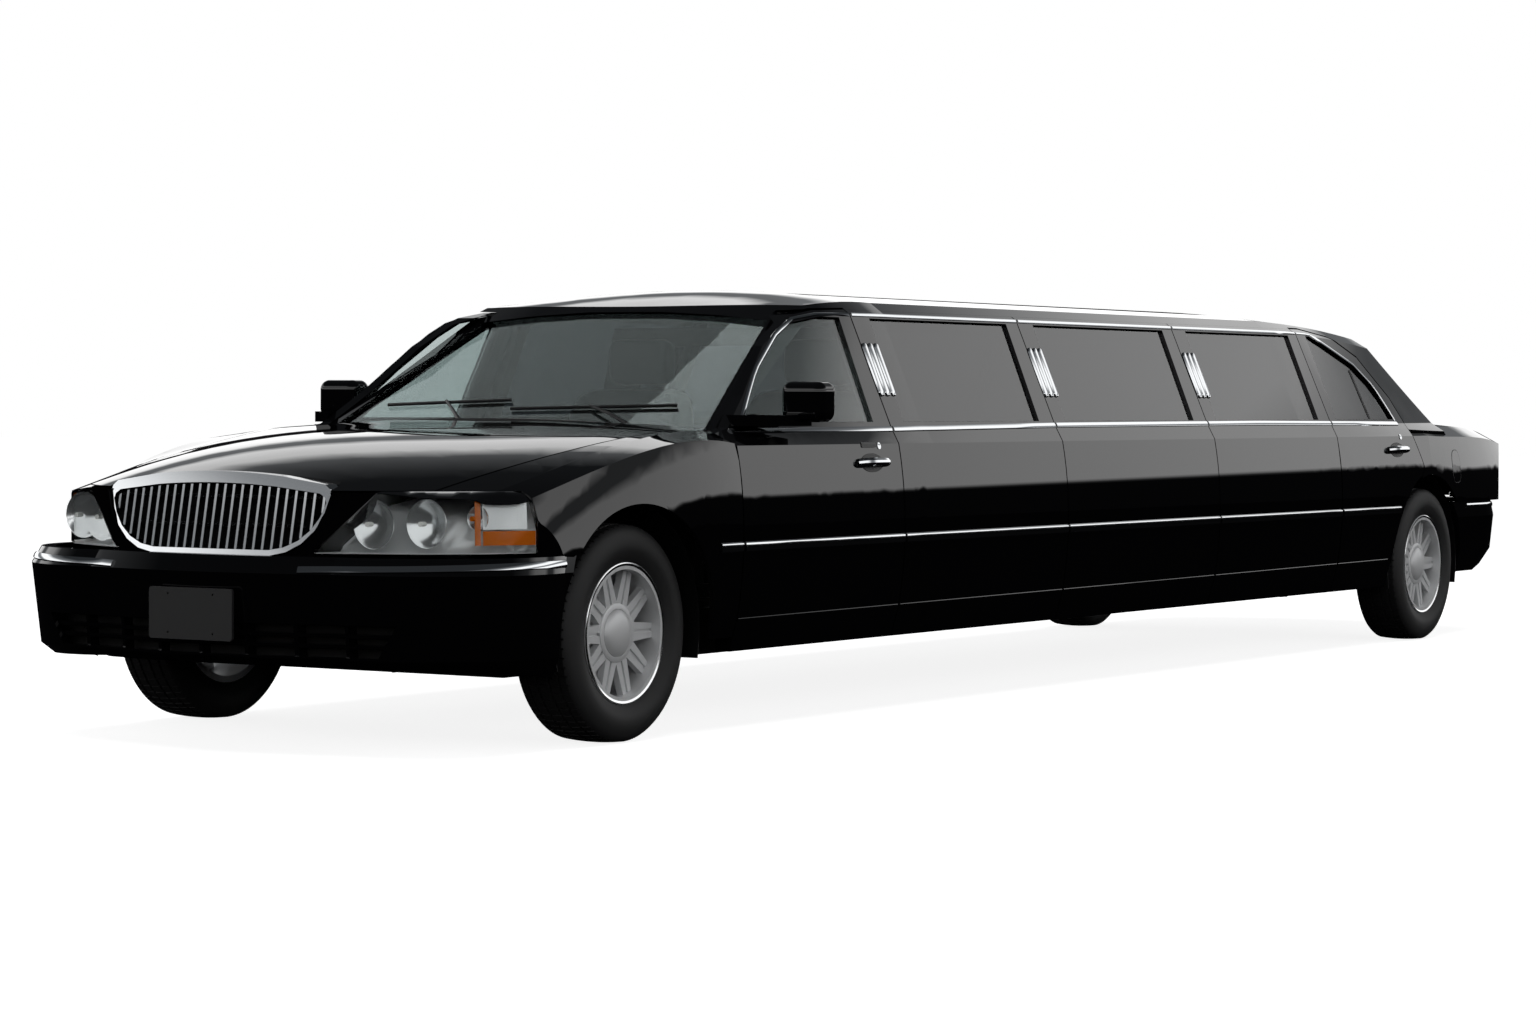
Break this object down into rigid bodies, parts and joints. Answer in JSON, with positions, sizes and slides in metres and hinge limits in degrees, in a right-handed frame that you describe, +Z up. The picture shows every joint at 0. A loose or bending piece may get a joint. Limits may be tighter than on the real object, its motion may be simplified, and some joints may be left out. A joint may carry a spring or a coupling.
{
  "type": "stretch limousine",
  "caption": "Long black stretch limousine with fixed stretch windows, opening doors, bonnet and boot lid, steered and turning wheels.",
  "frame": {"origin": "on the ground, midway along the car and on its centre plane", "axes": "+X to the rear, +Y to the car's right, +Z up"},
  "size_m": [9.0268, 2.15, 1.5],
  "materials": {
    "black_paint": "gloss black enamel",
    "dark_glass": "dark tinted",
    "clear_glass": "light green tint",
    "lamp_clear": "clear lamp cover",
    "lamp_red": "red lamp cover",
    "chrome": "polished",
    "alloy": "machined and lacquered",
    "tyre": "moulded",
    "chassis": "satin black",
    "cast": "as cast",
    "trim": "fine grain",
    "hide": "grained black hide",
    "zinc": "aluminised steel"
  },
  "bodies": {
    "root": {"side_panels": "black_paint", "side_windows": "dark_glass", "wings": "black_paint", "headlamps": "lamp_clear", "quarters": "black_paint", "tail_lamps": "lamp_red", "roof": "black_paint", "windscreen": "clear_glass", "rear_window": "dark_glass", "cowl": "trim", "front_bumper": "black_paint", "rear_bumper": "black_paint", "grille": "chrome", "plate_holder": "trim", "front_suspension": "chassis", "rear_axle": "cast", "frame": "chassis", "floor": "chassis", "inner_body": "chassis", "engine_and_shaft": "cast", "fuel_tank": "chassis", "exhaust": "zinc", "dashboard": "trim", "seat_bases": "trim", "seats": "hide", "partition": "trim", "bar_cabinet": "trim"},
    "bonnet": {"bonnet": "black_paint"},
    "boot_lid": {"boot_lid": "black_paint"},
    "door_front_left": {"door_front_left": "black_paint", "door_glass_front_left": "clear_glass", "mirror_left": "black_paint"},
    "door_rear_left": {"door_rear_left": "black_paint", "door_glass_rear_left": "dark_glass"},
    "knuckle_left": {"knuckle_left": "cast"},
    "wheel_front_left": {"tyre_front_left": "tyre", "rim_front_left": "alloy"},
    "wheel_rear_left": {"tyre_rear_left": "tyre", "rim_rear_left": "alloy"},
    "door_front_right": {"door_front_right": "black_paint", "door_glass_front_right": "clear_glass", "mirror_right": "black_paint"},
    "door_rear_right": {"door_rear_right": "black_paint", "door_glass_rear_right": "dark_glass"},
    "knuckle_right": {"knuckle_right": "cast"},
    "wheel_front_right": {"tyre_front_right": "tyre", "rim_front_right": "alloy"},
    "wheel_rear_right": {"tyre_rear_right": "tyre", "rim_rear_right": "alloy"}
  },
  "joints": [
    {"name": "door_front_left_hinge", "type": "hinge", "parent": "root", "child": "door_front_left", "pos_m": [-2.9255, -0.945, 0.63], "axis": [0, 0, -1], "range_deg": [0, 65]},
    {"name": "door_rear_left_hinge", "type": "hinge", "parent": "root", "child": "door_rear_left", "pos_m": [2.042, -0.945, 0.63], "axis": [0, 0, -1], "range_deg": [0, 65]},
    {"name": "steer_left", "type": "hinge", "parent": "root", "child": "knuckle_left", "pos_m": [-3.4635, -0.7505, 0.351], "axis": [0, 0, 1], "range_deg": [-33, 33]},
    {"name": "wheel_front_left_spin", "type": "hinge", "parent": "knuckle_left", "child": "wheel_front_left", "pos_m": [-3.4635, -0.8125, 0.351], "axis": [0, 1, 0], "continuous": true},
    {"name": "wheel_rear_left_spin", "type": "hinge", "parent": "root", "child": "wheel_rear_left", "pos_m": [3.1365, -0.845, 0.351], "axis": [0, 1, 0], "continuous": true},
    {"name": "door_front_right_hinge", "type": "hinge", "parent": "root", "child": "door_front_right", "pos_m": [-2.9255, 0.945, 0.63], "axis": [0, 0, 1], "range_deg": [0, 65]},
    {"name": "door_rear_right_hinge", "type": "hinge", "parent": "root", "child": "door_rear_right", "pos_m": [2.042, 0.945, 0.63], "axis": [0, 0, 1], "range_deg": [0, 65]},
    {"name": "steer_right", "type": "hinge", "parent": "root", "child": "knuckle_right", "pos_m": [-3.4635, 0.7505, 0.351], "axis": [0, 0, 1], "range_deg": [-33, 33]},
    {"name": "wheel_front_right_spin", "type": "hinge", "parent": "knuckle_right", "child": "wheel_front_right", "pos_m": [-3.4635, 0.8125, 0.351], "axis": [0, 1, 0], "continuous": true},
    {"name": "wheel_rear_right_spin", "type": "hinge", "parent": "root", "child": "wheel_rear_right", "pos_m": [3.1365, 0.845, 0.351], "axis": [0, 1, 0], "continuous": true},
    {"name": "bonnet_hinge", "type": "hinge", "parent": "root", "child": "bonnet", "pos_m": [-2.8525, 0, 0.972], "axis": [0, 1, 0], "range_deg": [0, 50]},
    {"name": "boot_hinge", "type": "hinge", "parent": "root", "child": "boot_lid", "pos_m": [3.6955, 0, 0.955], "axis": [0, -1, 0], "range_deg": [0, 42]}
  ],
  "couplings": [
    {"joint": "steer_right", "follows": "steer_left", "ratio": 1}
  ]
}
